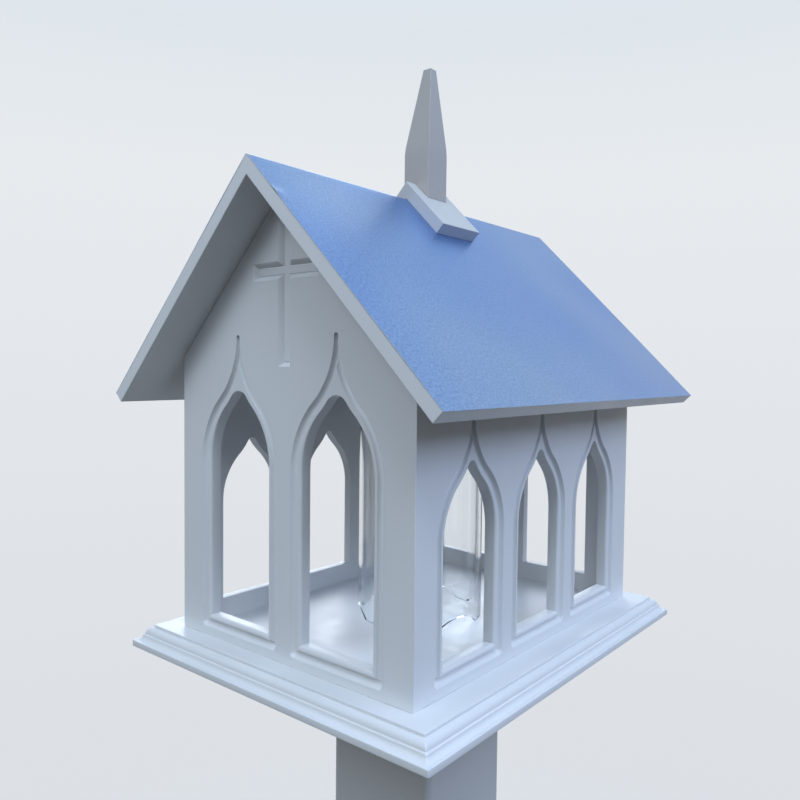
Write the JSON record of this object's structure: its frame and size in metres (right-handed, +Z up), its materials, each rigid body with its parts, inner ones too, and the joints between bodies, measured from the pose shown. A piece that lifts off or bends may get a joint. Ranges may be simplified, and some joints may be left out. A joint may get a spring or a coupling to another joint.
{
  "type": "chapel-shaped bird feeder on a post",
  "caption": "Bird feeder shaped like a small white chapel on a square post, with ogee windows, a moulded base, a blue-grey metal roof, a steeple and a clear seed tube inside.",
  "frame": {"origin": "middle of the post's foot, on the ground", "axes": "+Z up along the post, front gable faces -Y, ridge along Y, +X to the right seen from the front"},
  "size_m": [0.418, 0.501, 1.7669],
  "materials": {
    "white_board": "satin white sheet plastic",
    "post_sleeve": "smooth white vinyl",
    "roof_metal": "satin blue-grey coated sheet",
    "clear_tube": "clear acrylic"
  },
  "bodies": {
    "root": {"post": "post_sleeve", "base": "white_board", "front_wall": "white_board", "back_wall": "white_board", "left_wall": "white_board", "right_wall": "white_board", "left_roof_board": "white_board", "right_roof_board": "white_board", "left_saddle_board": "white_board", "right_saddle_board": "white_board", "steeple": "white_board", "roof_sheet": "roof_metal", "seed_tube": "clear_tube"}
  },
  "joints": []
}
